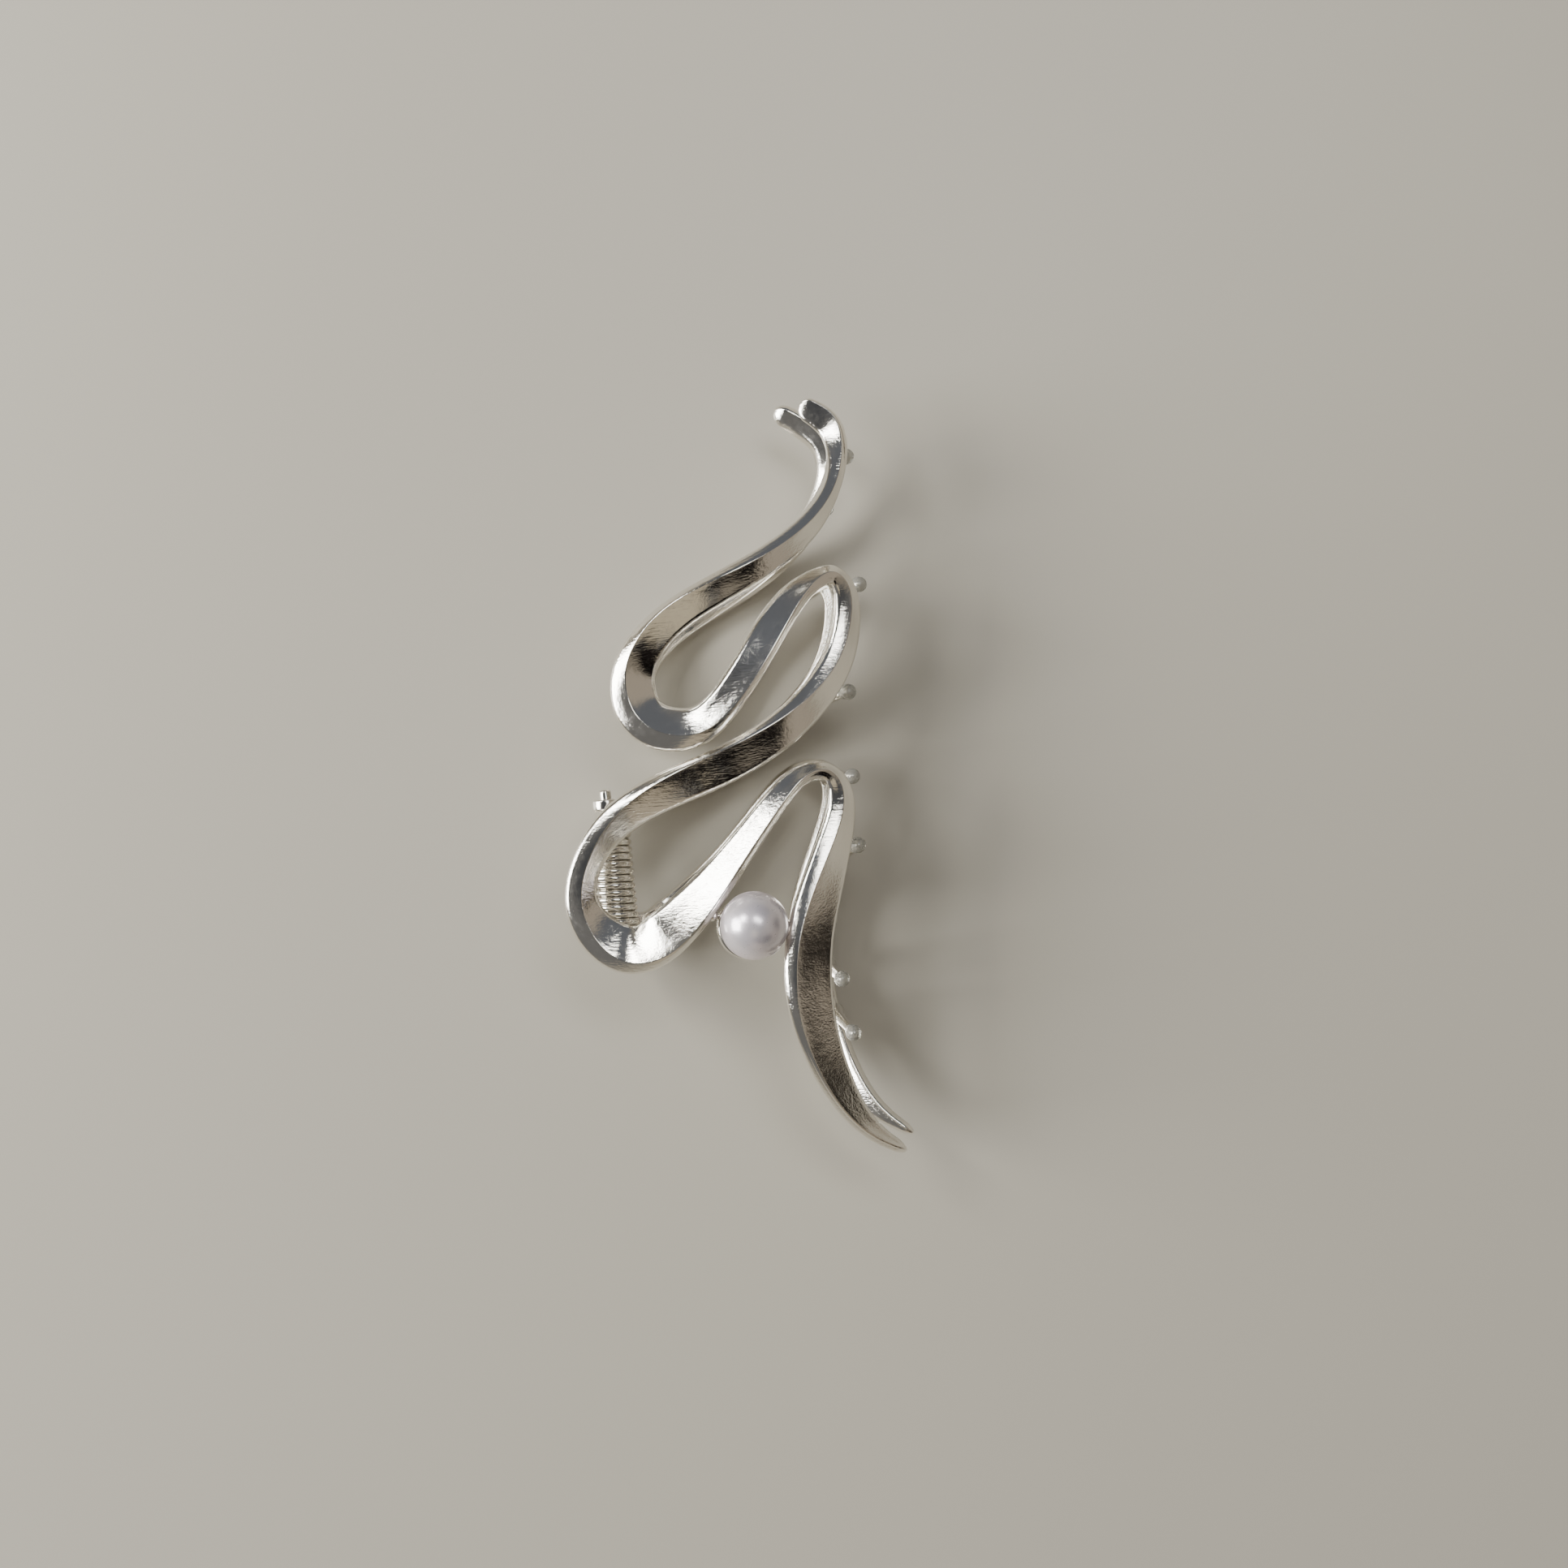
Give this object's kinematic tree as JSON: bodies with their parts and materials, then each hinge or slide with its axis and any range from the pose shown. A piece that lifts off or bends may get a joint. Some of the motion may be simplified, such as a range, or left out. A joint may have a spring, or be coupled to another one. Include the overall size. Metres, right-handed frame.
{
  "type": "claw clip",
  "caption": "Sprung claw hair clip with two serpentine cast jaws, silicone-capped teeth and an imitation pearl on the front jaw.",
  "frame": {"origin": "middle of the clip's bounding box at its lowest point, where the rear jaw lies on the ground", "axes": "+X from the hinge and handles to the teeth, +Y along the hinge from the jaws' tails to their heads, +Z from the rear jaw to the front jaw"},
  "size_m": [0.0412, 0.0956, 0.0261],
  "materials": {
    "silver_plate": "polished silver plate over cast zinc alloy, with faint ripple and fine rub marks",
    "pin_steel": "nickel-plated steel pin, bright",
    "spring_steel": "nickel-plated spring wire, bright drawn finish",
    "pearl": "pearlescent coated bead, glossy with a faint pink sheen",
    "silicone": "translucent soft silicone, satin"
  },
  "bodies": {
    "rear_jaw": {"rear_jaw": "silver_plate", "hinge_pin": "pin_steel", "torsion_spring": "spring_steel", "rear_cap_1": "silicone", "rear_cap_2": "silicone", "rear_cap_3": "silicone", "rear_cap_4": "silicone", "rear_cap_5": "silicone", "rear_cap_6": "silicone", "rear_cap_7": "silicone"},
    "front_jaw": {"front_jaw": "silver_plate", "pearl": "pearl", "front_cap_1": "silicone", "front_cap_2": "silicone", "front_cap_3": "silicone", "front_cap_4": "silicone", "front_cap_5": "silicone", "front_cap_6": "silicone"}
  },
  "joints": [
    {"name": "jaw_hinge", "type": "hinge", "parent": "rear_jaw", "child": "front_jaw", "pos_m": [-0.01492, -0.01191, 0.01134], "axis": [0, -1, 0], "range_deg": [0, 40], "stiffness_Nm_per_rad": 0.12, "springref_deg": -20.05, "deforming": ["torsion_spring"]}
  ]
}
